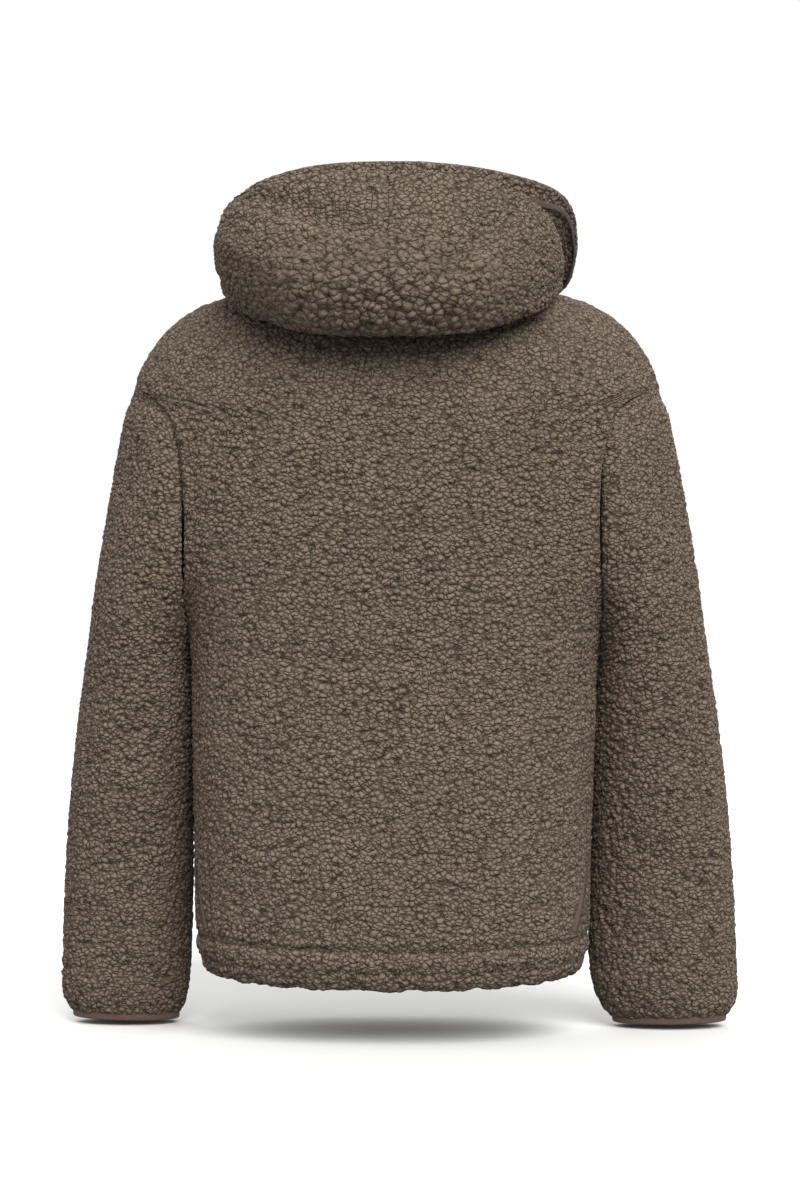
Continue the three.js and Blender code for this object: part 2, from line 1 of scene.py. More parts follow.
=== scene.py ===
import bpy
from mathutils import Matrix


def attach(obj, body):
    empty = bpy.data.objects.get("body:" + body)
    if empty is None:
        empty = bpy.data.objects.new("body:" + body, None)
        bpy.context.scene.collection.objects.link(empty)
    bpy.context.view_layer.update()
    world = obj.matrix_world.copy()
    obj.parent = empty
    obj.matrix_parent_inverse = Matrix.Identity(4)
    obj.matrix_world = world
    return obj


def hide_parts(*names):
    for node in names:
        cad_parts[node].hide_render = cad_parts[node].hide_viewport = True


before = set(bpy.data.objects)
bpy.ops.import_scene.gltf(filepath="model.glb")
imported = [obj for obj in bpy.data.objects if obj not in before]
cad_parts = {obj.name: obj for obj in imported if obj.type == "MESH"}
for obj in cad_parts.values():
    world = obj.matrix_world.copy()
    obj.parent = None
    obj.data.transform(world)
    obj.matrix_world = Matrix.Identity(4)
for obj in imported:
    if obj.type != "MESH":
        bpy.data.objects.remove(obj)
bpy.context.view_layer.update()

# %% [markdown]
# # A hooded pullover in sherpa fleece
# Sherpa is a knit whose long pile is tumbled until it rolls up into small curls.
# It could be made as hair, but hundreds of thousands of hairs can't be reused as a solid part.
# Here each cut piece is a thin closed shell on the same sizes as its CAD solid, and the curls are
# real bumps on that shell. The finest fibres are left to the material.

# %% Libraries and units
import math
from functools import partial

import bmesh
import bpy
import numpy as np
from mathutils import Matrix, Vector

MM = 0.001  # every size below is in millimetres, as on the pattern


def smooth(start, stop, at):
    """0 before start, 1 after stop, and a soft S between them."""
    t = np.clip((np.asarray(at, float) - start) / (stop - start), 0, 1)
    return t * t * (3 - 2 * t)


def mix(a, b, share):
    return a + (b - a) * share


def table(heads, *rows):
    """A short table with named columns."""
    return dict(zip(heads.split(), np.array(rows, float).T))


# %% [markdown]
# ## Curves through tables
# A pattern maker draws a garment from a few measured stations and lets a curve run through them.
# One function does the same: it reads a column of a table at any place, on a smooth curve.


# %% Reading between the rows of a table
def through(knots, values, at, flat_ends=False):
    """A smooth curve through values at the knots; values may hold one column per place."""
    last = len(knots) - 1
    i = np.clip(np.searchsorted(knots, at, side="left") - 1, 0, last - 1)
    low, high = np.maximum(np.arange(last + 1) - 1, 0), np.minimum(np.arange(last + 1) + 1, last)
    run = knots[high] - knots[low]
    slope = (values[high] - values[low]) / (run if values.ndim == 1 else run[:, None])
    if flat_ends:
        slope[[0, last]] = 0
    span = knots[i + 1] - knots[i]
    t = (at - knots[i]) / span
    pick = (lambda a, k: a[k]) if values.ndim == 1 else (lambda a, k: a[k, np.arange(len(k))])
    return (
        (2 * t**3 - 3 * t**2 + 1) * pick(values, i)
        + (t**3 - 2 * t**2 + t) * span * pick(slope, i)
        + (3 * t**2 - 2 * t**3) * pick(values, i + 1)
        + (t**3 - t**2) * span * pick(slope, i + 1)
    )


def column(rows, key, name, at, flat_ends=False):
    return through(rows[key], rows[name], np.asarray(at, float), flat_ends)


# %% [markdown]
# ## The sizes of the garment
# These are the CAD model's own sizes, because the cloth has to lie where its solids do.
# turn goes round the body from the wearer's left side, with 90 degrees in the middle of the back.
# rise is the height above the hem, measured along the cloth.

# %% Sizes of the cloth and heights on it
CLOTH, HEM_CLOTH, SEAM_GAP = 5, 9, 0.3
HEM_LINE, UNDERARM, SHOULDER_TIP, NECK = 42, 343, 585, 700
STITCH_SINK = 1.6
print("Cloth:", CLOTH, "mm with its pile,", HEM_CLOTH, "mm at a turned hem,", NECK, "mm from hem to neck")

# %% The body, its armholes and its folds
BODY = table(
    "rise midX sideX sideY sideZ backY backZ frontY frontZ square seam",
    (0, 2.5, 184, -4, -681, 112, -688, -118, -687, 2.4, 30),
    (20, 2.5, 193, -4, -664, 123, -669, -129, -668, 2.4, 30),
    (42, 2.5, 197, -4, -641, 126, -646, -132, -645, 2.4, 30),
    (120, 2.5, 198.5, -4, -563, 130, -568, -136, -567, 2.4, 29),
    (230, 1.5, 201.5, -4, -452, 131, -457, -140, -456, 2.4, 20),
    (343, 0, 208, -6, -339, 131, -347, -143, -347, 2.35, 6),
    (430, 0, 235, -10, -255, 132, -268, -144, -272, 2.25, 6),
    (515, 0, 256, -16, -170, 131, -193, -142, -205, 2.2, 7),
    (585, 0, 264, -20, -97, 127, -130, -136, -154, 2.15, 9),
    (622, 0, 241, -18, -50, 120, -91, -128, -126, 2.1, 10),
    (650, 0, 203, -15, -18, 109, -57, -118, -101, 2.1, 11),
    (676, 0, 146, -11, 0, 91, -23, -101, -80, 2.05, 12),
    (700, 0, 90, -8, 7, 66, 6, -84, -61, 2, 12),
)
ARMHOLE = table(
    "rise back front",
    (UNDERARM, 0, 0), (350, 5, 8), (380, 14, 21), (415, 23, 31),
    (480, 30, 36), (545, 30, 33), (575, 22, 22), (SHOULDER_TIP, 0, 0),
)
BODY_FOLDS = table(
    "turn_a rise_a turn_b rise_b width depth",
    (52, 322, 118, 318, 13, 1.6), (44, 328, 30, 246, 15, 2), (128, 330, 146, 262, 14, 1.5),
    (-58, 300, -112, 306, 14, 1.6), (-40, 330, -26, 236, 15, 2), (-140, 322, -156, 250, 15, 1.8),
    (50, 324, 122, 321, 4, 1.3),
    (142, 598, 153, 641, 9, -3.6), (153, 641, 161, 664, 9, -3.6), (151, 592, 163, 646, 9, 3.8),
    (38, 598, 27, 641, 9, -2), (27, 641, 19, 664, 9, -2), (29, 592, 17, 646, 9, 1.8),
)
BODY_SCALE = (2.9, 1)  # mm round the body for one degree, and down the cloth for one mm of rise
BODY_HALF = 200  # mm from the body's middle line to its sides
print("Body:", len(BODY["rise"]), "sections and", len(BODY_FOLDS["depth"]), "soft folds")

# %% The sleeves, their crease and their folds
SLEEVE = table(
    "along outX outZ inLeft inRight inZ midY half",
    (0, 264, -97, 208, 208, -339, -12, 76), (0.12, 272, -138, 214, 214, -346, -13, 79),
    (0.25, 283, -200, 216, 214, -359, -16, 80), (0.38, 296, -280, 216, 211, -378, -20, 78),
    (0.5, 308, -360, 214, 207, -412, -25, 72), (0.62, 320, -440, 212, 203, -466, -31, 64),
    (0.74, 330, -528, 212, 200, -538, -38, 55), (0.85, 336, -612, 213, 198, -616, -45, 46),
    (0.93, 339, -678, 216, 199, -680, -50, 40), (0.975, 339, -712, 220, 208, -714, -53, 36),
    (1, 329, -727, 228, 222, -729, -54, 28),
)
SLEEVE_LONG = 640
SLEEVE_SCALE = (1.25, SLEEVE_LONG)  # mm round the sleeve for one degree, and along it for its whole length
CAP_END, CAP_RISE_END = 0.42, 0.1
CREASE = table("along turn", (0.1, 10), (0.3, 16), (0.6, 37), (1, 43))
CREASE_SPREAD, CREASE_LEFT, CREASE_RIGHT = 7, 1.2, 3.8
SLEEVE_FOLDS = table(
    "turn_a along_a turn_b along_b width depth",
    (60, 0.47, 120, 0.38, 11, 2.2), (44, 0.68, 112, 0.58, 12, 2.8), (62, 0.82, 130, 0.74, 11, 2.2),
    (232, 0.56, 300, 0.66, 12, 2.6), (226, 0.4, 290, 0.46, 11, 2),
)
BINDING_DEEP, BINDING_THICK, BINDING_INSET = 8, 4.5, 0.8
print("Sleeve:", SLEEVE_LONG, "mm long, in", len(SLEEVE["along"]), "rings")

# %% The lowered hood, as profiles from the neck seam to the rim
HOOD_CENTRE_Y, HOOD_LEAN, RIM_LEAN, HOOD_STAND = -8, 3, 5, 14
HOOD_KNOTS = {
    "stand": 0.05, "roll": 0.12, "under": 0.24, "foot": 0.36, "bulge": 0.48,
    "back": 0.6, "top": 0.74, "dip": 0.86, "rim": 1,
}
HOOD = table(
    "turn rollR rollZ underR underZ footR footZ bulgeR bulgeZ backR backZ topR topZ dipR dipZ rimR rimZ",
    (0, 92, 26, 128, -14, 158, -61, 196, -27, 205, 34, 179, 95, 162, 60, 150, 109),
    (30, 96, 26, 132, -10, 165, -55, 203, -18, 211, 36, 190, 93, 172, 60, 160, 107),
    (52, 100, 25, 137, 2, 176, -34, 202, 2, 206, 42, 191, 80, 176, 58, 171, 97),
    (72, 102, 24, 140, 10, 172, -12, 184, 10, 186, 34, 180, 60, 171, 56, 172, 84),
    (92, 104, 20, 138, 12, 164, -2, 172, 8, 175, 24, 176, 40, 177, 52, 180, 68),
    (104, 105, 15, 135, 9, 160, -5, 169, 1, 174, 10, 178, 20, 181, 28, 185, 40),
    (116, 105, 8, 130, 4, 152, -10, 161, -9, 167, -5, 171, 0, 173, 5, 176, 12),
    (146, 104, -26, 116, -32, 127, -44, 134, -43, 138, -39, 141, -34, 142, -30, 143, -22),
    (180, 93, -45, 99, -51, 106, -57, 110, -56, 113, -52, 115, -47, 116, -43, 116, -36),
)


# %% The hood's right half, narrower at the side, so that the rim and the tape stand out past the pouch
RIGHT_SHAPE = {
    30: dict(bulgeR=199, backR=205, topR=185, topZ=88, dipR=169, rimZ=104),
    52: dict(bulgeR=192, backR=194, topR=180, topZ=70, dipR=169, dipZ=56, rimR=175, rimZ=93),
    72: dict(footR=166, bulgeR=174, backR=174, backZ=32, topR=167, topZ=50, dipR=165, dipZ=58, rimR=176),
    92: dict(footR=160, bulgeR=165, backR=166, topR=164, topZ=36, dipR=167, dipZ=47, rimR=180, rimZ=64),
    104: dict(footR=156, bulgeR=163, backR=166, topR=169, dipR=174, rimR=187),
    116: dict(rimR=188, rimZ=8),
}


def reshaped(rows, key, changes):
    """A copy of a table with some of its values changed, row by row."""
    made = {name: values.copy() for name, values in rows.items()}
    for place, values in changes.items():
        for name, value in values.items():
            made[name][rows[key] == place] = value
    return made


HOOD_RIGHT = reshaped(HOOD, "turn", RIGHT_SHAPE)
HOOD_SIDES = {1: HOOD, -1: HOOD_RIGHT}
HOOD_FOLDS = {
    1: table(
        "turn_a along_a turn_b along_b width depth",
        (50, 0.71, 6, 0.6, 13, 7), (0, 0.8, 0, 0.6, 8, 6.5), (0, 0.6, 0, 0.4, 7, 4),
        (88, 0.5, 52, 0.42, 11, 3), (60, 0.6, 28, 0.52, 15, -3),
    ),
    -1: table(
        "turn_a along_a turn_b along_b width depth",
        (0, 0.8, 0, 0.6, 8, 6.5), (0, 0.6, 0, 0.4, 7, 4),
        (42, 0.68, 16, 0.52, 14, 3.5), (82, 0.48, 56, 0.42, 11, 3),
    ),
}
HOOD_SCALE = (3.5, 520)  # mm round the hood for one degree, and along its longest profile
TAPE_FROM, TAPE_SEWN, TAPE_TO, TAPE_THICK = 0.925, 0.944, 0.955, 1.5
print("Hood:", len(HOOD["turn"]), "profiles,", len(RIGHT_SHAPE), "of them changed on the right")

# %% The slanted side pockets
POCKET = dict(
    low_turn=26, low_rise=47, high_turn=-8, high_rise=192, wide=5, narrow=1.4, recess=2.2, thick=2.4, long=170
)
print("Pocket mouths:", POCKET["long"], "mm long and", 2 * POCKET["wide"], "mm wide at the low end")


# %% [markdown]
# ## Skins
# A skin is a function from a place on the cloth to a point in space.
# Moving the point out or in along the skin's own normal gives both faces of the cloth.


# %% Small tools for skins
def power(value, exponent):
    return np.sign(value) * np.abs(value) ** exponent


def points(x, y, z):
    return np.stack(np.broadcast_arrays(x, y, z), axis=-1)


def unit(v):
    return v / np.maximum(np.linalg.norm(v, axis=-1, keepdims=True), 1e-12)


def normal_of(form, u, v, step_u, step_v):
    du = form(u + step_u, v) - form(u - step_u, v)
    dv = form(u, v + step_v) - form(u, v - step_v)
    return unit(np.cross(du, dv))


def fold_depth(folds, u, v, down, scale):
    """How deep the soft folds are at a place, given as turn and down; scale turns both into millimetres."""
    depth = np.zeros_like(u)
    names = ("turn_a", f"{down}_a", "turn_b", f"{down}_b", "width", "depth")
    for row in zip(*(folds[n] for n in names)):
        a, b = np.array(row[0:2]) * scale, np.array(row[2:4]) * scale
        at = np.stack([u * scale[0], v * scale[1]], axis=-1)
        t = np.clip((at - a) @ (b - a) / ((b - a) @ (b - a)), 0, 1)
        away = np.linalg.norm(at - a - t[..., None] * (b - a), axis=-1) / row[4]
        depth += row[5] * np.exp(-(away**2)) * (1 - 0.5 * np.abs(2 * t - 1))
    return depth


# %% The body's skin
def body_form(turn, rise):
    at = {name: column(BODY, "rise", name, rise) for name in BODY}
    across = power(np.cos(turn), 2 / at["square"])
    deep = power(np.sin(turn), 2 / at["square"])
    end_y = np.where(deep > 0, at["backY"], at["frontY"])
    end_z = np.where(deep > 0, at["backZ"], at["frontZ"])
    return points(
        at["midX"] + at["sideX"] * across,
        at["sideY"] + (end_y - at["sideY"]) * np.abs(deep),
        at["sideZ"] + (end_z - at["sideZ"]) * deep**2,
    )


def body_skin(turn, rise, out):
    normal = normal_of(body_form, turn, np.clip(rise, 1, NECK - 1), 0.004, 1)
    fold = fold_depth(BODY_FOLDS, np.degrees(turn), rise, "rise", BODY_SCALE)
    stitch = STITCH_SINK * np.exp(-(((rise - HEM_LINE) / 5) ** 2))
    return body_form(turn, rise) + normal * (out - fold - stitch)[..., None]


def edge_turn(rise, is_back):
    """Where a panel's edge is on the left side, in radians: the side seam, armhole or shoulder seam."""
    seam = column(BODY, "rise", "seam", rise)
    inside = (rise > UNDERARM) & (rise < SHOULDER_TIP)
    name, sign = ("back", 1) if is_back else ("front", -1)
    cut = np.maximum(0, column(ARMHOLE, "rise", name, rise)) * sign
    return np.radians(seam + np.where(inside, cut, 0))


# %% The sleeve's skin
def armhole_point(turn):
    rise = mix(UNDERARM, SHOULDER_TIP, (1 + np.cos(turn)) / 2)
    edge = np.where(np.sin(turn) >= 0, edge_turn(rise, True), edge_turn(rise, False))
    return body_skin(edge, rise, np.zeros_like(rise))


def sleeve_ring(side, turn, along):
    at = {name: column(SLEEVE, "along", name, along) for name in SLEEVE}
    across = (np.cos(turn) + 1) / 2
    return points(
        mix(at["inLeft" if side > 0 else "inRight"], at["outX"], across),
        at["midY"] + at["half"] * np.sin(turn),
        mix(at["inZ"], at["outZ"], across),
    )


def cap_rise(along):
    """The sleeve is level with the body at the armhole and stands a cloth's thickness out further down."""
    return CLOTH * smooth(0, CAP_RISE_END, along)


def sleeve_skin(side, turn, along, out):
    def form(u, v):
        fade = (1 - smooth(0, CAP_END, v))[..., None]
        shift = armhole_point(u) - sleeve_ring(side, u, np.zeros_like(u))
        return sleeve_ring(side, u, v) + shift * fade

    normal = -normal_of(form, turn, np.clip(along, 0.01, 0.99), 0.02, 0.01)
    end = along >= 1
    normal[..., 2] = np.where(end, 0, normal[..., 2])
    normal = unit(normal)
    around = np.degrees(turn) % 360
    fold = fold_depth(SLEEVE_FOLDS, around, along, "along", SLEEVE_SCALE)
    aside = (around - column(CREASE, "along", "turn", np.maximum(along, 0.1))) / CREASE_SPREAD
    crease = (CREASE_LEFT if side > 0 else CREASE_RIGHT) * np.exp(-(aside**2))
    settled = smooth(0, 0.2, along) * (1 - smooth(0.9, 1, along))
    moved = form(turn, along) + normal * (out + (crease - fold) * settled)[..., None]
    return moved * (side, 1, 1)


# %% The hood's skin
def hood_form(side, turn, along):
    sizes, shape = HOOD_SIDES[side], turn.shape
    turn, along = turn.ravel(), along.ravel()
    seam = body_form(math.pi / 2 - turn, np.full_like(turn, NECK)) + (0, 0, 1.5 * SEAM_GAP)
    rows = [seam, seam + (0, 0, HOOD_STAND)]
    for name in list(HOOD_KNOTS)[1:]:
        radius, height = (column(sizes, "turn", name + c, np.degrees(turn), True) for c in "RZ")
        rows.append(points(radius * np.sin(turn), HOOD_CENTRE_Y + radius * np.cos(turn), height))
    knots = np.array([0, *HOOD_KNOTS.values()])
    rows = np.array(rows)
    return points(*(through(knots, rows[:, :, axis], along) for axis in range(3))).reshape(*shape, 3)


def hood_skin(side, turn, along, out=None):
    def leaning(u, v):
        spot = hood_form(side, u, v) * (side, 1, 1)
        spot[..., 0] = side * np.maximum(side * spot[..., 0], SEAM_GAP / 2)
        lean = HOOD_LEAN * smooth(0, HOOD_KNOTS["foot"], v) + RIM_LEAN * smooth(HOOD_KNOTS["top"], 1, v)
        spot[..., 0] -= lean * np.cos(u / 2) ** 2
        return spot

    spot = leaning(turn, along)
    if out is None:
        return spot
    near = np.clip(turn, 0.02, math.pi - 0.02)
    normal = -side * normal_of(leaning, near, np.clip(along, 0.004, 0.996), 0.01, 0.004)
    level = smooth(0, 0.03, turn) * smooth(0, 0.03, math.pi - turn)
    normal[..., 0] *= level
    return spot + unit(normal) * np.asarray(out)[..., None]


right_side = body_form(np.array([math.pi]), np.array([float(UNDERARM)]))[0, 0]
print("The body is", round(float(right_side)), "mm to its right side")

# %% [markdown]
# ## From a skin to a closed piece of cloth
# The outside is a fine grid, because the curls are made on it, and the inside is four times coarser.
# Both stop in the middle of the cloth at its edges, where a row of faces joins them, so the edges
# come out round, as sewn and turned edges of a thick pile are.


# %% A grid laid on a skin
def grid_on(name, spots, **values):
    """A mesh grid with its points at spots (rows, columns, 3) in millimetres, and values as attributes."""
    rows, columns = spots.shape[:2]
    bm = bmesh.new()
    bmesh.ops.create_grid(bm, x_segments=columns - 1, y_segments=rows - 1, size=0.5)
    mesh = bpy.data.meshes.new(name)
    bm.to_mesh(mesh)
    bm.free()
    flat = np.empty(len(mesh.vertices) * 3, np.float32)
    mesh.vertices.foreach_get("co", flat)
    i = np.rint((flat[0::3] + 0.5) * (columns - 1)).astype(int)
    j = np.rint((flat[1::3] + 0.5) * (rows - 1)).astype(int)
    mesh.vertices.foreach_set("co", (spots[j, i] * MM).ravel())
    for key, value in values.items():
        kind = "FLOAT_VECTOR" if value.ndim == 3 else "FLOAT"
        layer = mesh.attributes.new(key, kind, "POINT")
        field = "vector" if value.ndim == 3 else "value"
        layer.data.foreach_set(field, value[j, i].astype(np.float32).ravel())
    return mesh


def laid_out(name, mesh):
    """An object that shows the mesh."""
    piece = bpy.data.objects.new(name, mesh)
    bpy.context.collection.objects.link(piece)
    return piece


# %% Two grids joined round their edges
def closed_cloth(name, outer, inner, tube=False):
    """One closed mesh from an outside and an inside grid; a tube's sides are merged first."""
    bm = bmesh.new()
    for mesh in (outer, inner):
        bm.from_mesh(mesh)
    outside = len(outer.polygons)
    bm.faces.ensure_lookup_table()
    pile = bm.verts.layers.float["pile"]
    for face in bm.faces[outside:]:
        turned_in = all(v[pile] > 0 for v in face.verts)  # a turned-in hem shows its pile
        face.material_index = 0 if turned_in else 1
    if tube:
        edge = [v for v in bm.verts if v.is_boundary]
        bmesh.ops.remove_doubles(bm, verts=edge, dist=1e-6)
        rims = [e for e in bm.edges if e.is_boundary]
        middle = np.mean([v.co.z for e in rims for v in e.verts])
        ends = [[e for e in rims if (e.verts[0].co.z > middle) == high] for high in (True, False)]
    else:
        ends = [[e for e in bm.edges if e.is_boundary]]
    for rim in ends:
        bmesh.ops.bridge_loops(bm, edges=rim)
    bmesh.ops.recalc_face_normals(bm, faces=bm.faces)
    for face in bm.faces:
        face.smooth = True
    mesh = bpy.data.meshes.new(name)
    bm.to_mesh(mesh)
    open_edges = sum(e.is_boundary for e in bm.edges)
    bm.free()
    for old in (outer, inner):
        bpy.data.meshes.remove(old)
    piece = laid_out(name, mesh)
    print(f"{name}: {sum(len(p.vertices) - 2 for p in mesh.polygons)} triangles, {open_edges} open edges")
    return piece


def evened(skin, v, count, fine=360, stations=49):
    """For each row at v, count + 1 shares from 0 to 1 at which its points are evenly spaced."""
    share, station = np.meshgrid(np.linspace(0, 1, fine), np.linspace(0, 1, stations))
    made = []
    for row in skin(share, station, np.zeros_like(share)):
        run = np.concatenate([[0], np.cumsum(np.linalg.norm(np.diff(row, axis=0), axis=1))])
        made.append(np.interp(np.linspace(0, run[-1], count + 1), run, share[0]))
    made = np.array(made)
    return np.array([np.interp(v, station[:, 0], made[:, k]) for k in range(count + 1)]).T


def edge_round(distance, radius):
    """0 at an edge and 1 beyond its rounding, as a quarter circle."""
    t = np.clip(distance / radius, 0, 1)
    return np.sqrt(np.maximum(1 - (1 - t) ** 2, 0))


FAR_FROM_EDGE = 1e3  # mm, for a tube's sides, which have no edge


def gap_to_rim(spots, tube=False):
    """How far each point is along the cloth from the piece's nearest end and side, in millimetres."""
    steps_down = np.linalg.norm(np.diff(spots, axis=0), axis=2)
    down = np.concatenate([np.zeros_like(spots[:1, :, 0]), np.cumsum(steps_down, 0)])
    ends = np.minimum(down, down[-1:] - down)
    if tube:
        return ends, np.full_like(ends, FAR_FROM_EDGE)
    steps_over = np.linalg.norm(np.diff(spots, axis=1), axis=2)
    over = np.concatenate([np.zeros_like(spots[:, :1, 0]), np.cumsum(steps_over, 1)], axis=1)
    return ends, np.minimum(over, over[:, -1:] - over)


# %% [markdown]
# ## The curls of the pile
# A curl is a round clump with a narrow crack to the next one. Cells of a Voronoi pattern, warped by
# noise, have that shape. The same nodes serve twice: Geometry Nodes lift the cloth with them, and the
# material paints shade into the cracks with them, so painted shade and form always agree.


# %% One node with its settings and its links
def node(tree, kind, settings=None, **links):
    """Adds a node. settings are its properties; a link is a socket, a number, a colour or a vector."""
    made = tree.nodes.new(kind)
    for key, value in (settings or {}).items():
        setattr(made, key, value)
    for key, value in links.items():
        name = key.replace("_", " ")
        place = made.inputs[int(key[1:])] if key[0] == "i" and key[1:].isdigit() else made.inputs[name]
        if isinstance(value, bpy.types.NodeSocket):
            tree.links.new(value, place)
        else:
            place.default_value = value
    return made


def calculated(tree, op, a, b=0.0, c=0.0):
    """The result of a Math node."""
    return node(tree, "ShaderNodeMath", {"operation": op}, i0=a, i1=b, i2=c).outputs[0]


# %% The pattern of curls
CURL = 5.4  # mm from one curl to the next on the body
BIG_CURL = 7.8  # mm on the hood's fold, where the pile opens
FLATTER = 1.3  # curls are wider than they are high


def curl_nodes(tree, at, coarse=None):
    """Curls as round heaps, 0 between them and 1 on a crown, and their distance to the next one's edge.

    at is the place on the cloth in mm. coarse is 1 where curls are big, and left out where all are small.
    """
    calc = partial(calculated, tree)

    def vector(op, **links):
        return node(tree, "ShaderNodeVectorMath", {"operation": op}, **links).outputs[0]

    def shift(place, scale, reach):
        noise = node(tree, "ShaderNodeTexNoise", Vector=place, Scale=scale, Detail=1.0).outputs["Color"]
        centred = vector("SUBTRACT", i0=noise, i1=(0.5, 0.5, 0.5))
        return vector("MULTIPLY_ADD", i0=centred, i1=(reach,) * 3, i2=place)

    at = shift(shift(at, 0.11, 7.0), 0.42, 2.6)  # big and small wandering, in mm
    at = vector("MULTIPLY", i0=at, i1=(1, 1, FLATTER))
    heaps = []
    for size in (CURL,) if coarse is None else (CURL, BIG_CURL):
        near, border = (
            node(tree, "ShaderNodeTexVoronoi", {"feature": kind}, Vector=at, Scale=1 / size, Randomness=0.95)
            for kind in ("F1", "DISTANCE_TO_EDGE")
        )
        edge = border.outputs["Distance"]
        dome = calc("MULTIPLY_ADD", calc("POWER", near.outputs["Distance"], 2.0), -1.7, 1.0)
        grown = node(tree, "ShaderNodeSeparateXYZ", Vector=near.outputs["Color"]).outputs[0]
        heaps.append((calc("MULTIPLY", dome, calc("MULTIPLY_ADD", grown, 0.5, 0.7)), edge))
    if coarse is None:
        return heaps[0]
    blend = []
    for small, big in zip(*heaps):
        share = node(tree, "ShaderNodeMix", {"data_type": "FLOAT"}, i0=coarse, i2=small, i3=big)
        blend.append(share.outputs[0])
    return blend


# %% Geometry Nodes that lift the curls
def lift_tree():
    tree = bpy.data.node_groups.new("lift_curls", "GeometryNodeTree")
    tree.interface.new_socket("Geometry", in_out="INPUT", socket_type="NodeSocketGeometry")
    tree.interface.new_socket("Geometry", in_out="OUTPUT", socket_type="NodeSocketGeometry")
    start, stop = tree.nodes.new("NodeGroupInput"), tree.nodes.new("NodeGroupOutput")

    def stored(name, kind):
        made = node(tree, "GeometryNodeInputNamedAttribute", {"data_type": kind}, Name=name)
        return made.outputs["Attribute"]

    dome = curl_nodes(tree, stored("rest", "FLOAT_VECTOR"), stored("coarse", "FLOAT"))[0]
    height = calculated(tree, "MULTIPLY", dome, stored("pile", "FLOAT"))
    normal = node(tree, "GeometryNodeInputNormal").outputs[0]
    offset = node(tree, "ShaderNodeVectorMath", {"operation": "SCALE"}, i0=normal, i3=height).outputs[0]
    moved = node(tree, "GeometryNodeSetPosition", Geometry=start.outputs[0], Offset=offset)
    tree.links.new(moved.outputs[0], stop.inputs[0])
    return tree


LIFT = lift_tree()


def curl(piece):
    """Lifts the curls on a piece and keeps the result as its mesh."""
    piece.modifiers.new("curls", "NODES").node_group = LIFT
    bpy.context.view_layer.update()
    ready = piece.evaluated_get(bpy.context.evaluated_depsgraph_get())
    mesh = bpy.data.meshes.new_from_object(ready)
    piece.modifiers.clear()
    old, piece.data = piece.data, mesh
    bpy.data.meshes.remove(old)
    mesh.name = piece.name
    return piece


# %% [markdown]
# ## Materials
# Sherpa's polyester pile scatters light so well that it has hardly any gloss, only a soft sheen
# where it is seen edge on. Its colour is lighter on the crowns, and painted shade darkens it down the
# sides of the curls and in the cracks between them.


# %% Colours
def linear(code):
    """An sRGB hex colour as linear numbers with alpha."""
    parts = [int(code[i : i + 2], 16) / 255 for i in (1, 3, 5)]
    return (*[p / 12.92 if p <= 0.04045 else ((p + 0.055) / 1.055) ** 2.4 for p in parts], 1)


def new_material(name):
    material = bpy.data.materials.new(name)
    material.use_nodes = True
    tree = material.node_tree
    tree.nodes.clear()
    return material, tree


# %% Sherpa pile, knitted and tumbled
def sherpa_pile(name, opened):
    """The pile's finish; opened adds the big curls of the hood's fold."""
    material, tree = new_material(name)

    def stored(name, out):
        return node(tree, "ShaderNodeAttribute", {"attribute_name": name}).outputs[out]

    def spread(value, low, high, start=0.0, stop=1.0):
        return node(tree, "ShaderNodeMapRange", i0=value, i1=low, i2=high, i3=start, i4=stop).outputs[0]

    def noise(scale, detail, rough=0.5):
        made = node(tree, "ShaderNodeTexNoise", Vector=at, Scale=scale, Detail=detail, Roughness=rough)
        return made.outputs[0]

    def blend(share, low, high):
        return node(tree, "ShaderNodeMix", {"data_type": "RGBA"}, i0=share, i6=low, i7=high).outputs[2]

    calc = partial(calculated, tree)
    at = stored("rest", "Vector")
    dome, edge = curl_nodes(tree, at, stored("coarse", "Fac") if opened else None)
    flank = calc("POWER", spread(edge, 0.0, 0.3, 1.0, 0.0), 2.0)  # 1 in a crack, falling fast to the crown
    fibre = noise(0.75, 3.0, 0.65)
    clouds = noise(0.02, 3.0)  # 50 mm of dye
    patch = noise(0.09, 2.0)  # cracks open in places
    # painted shade: the colour goes dark in the cracks between the curls, where shade falls, and more so
    # where patch is high
    crack = calc("MULTIPLY", spread(edge, 0.0, 0.12, 1.0, 0.0), spread(patch, 0.35, 0.6, 0.35, 1.0))
    bright = calc("MULTIPLY", spread(fibre, 0.3, 0.7, 0.86, 1.14), spread(clouds, 0.3, 0.7, 0.94, 1.06))
    # painted shade: each curl's colour darkens from its crown down to its lows
    pile = blend(dome, linear(PILE_LOW_PAINTED_SHADE), linear(PILE_CROWN))
    pile = node(tree, "ShaderNodeVectorMath", {"operation": "SCALE"}, i0=pile, i3=bright).outputs[0]
    colour = blend(crack, pile, linear(PILE_CRACK_PAINTED_SHADE))
    relief = calc("MULTIPLY_ADD", fibre, 0.5, calc("MULTIPLY_ADD", flank, -0.7, dome))
    bump = node(tree, "ShaderNodeBump", Strength=1.0, Distance=PILE_BUMP * MM, Height=relief)
    surface = node(
        tree, "ShaderNodeBsdfPrincipled",
        Base_Color=colour, Roughness=0.95, Specular_IOR_Level=0.15,
        Sheen_Weight=0.2, Sheen_Roughness=0.6, Sheen_Tint=linear("#b8a795"), Normal=bump.outputs[0],
    )
    tree.links.new(surface.outputs[0], tree.nodes.new("ShaderNodeOutputMaterial").inputs[0])
    return material


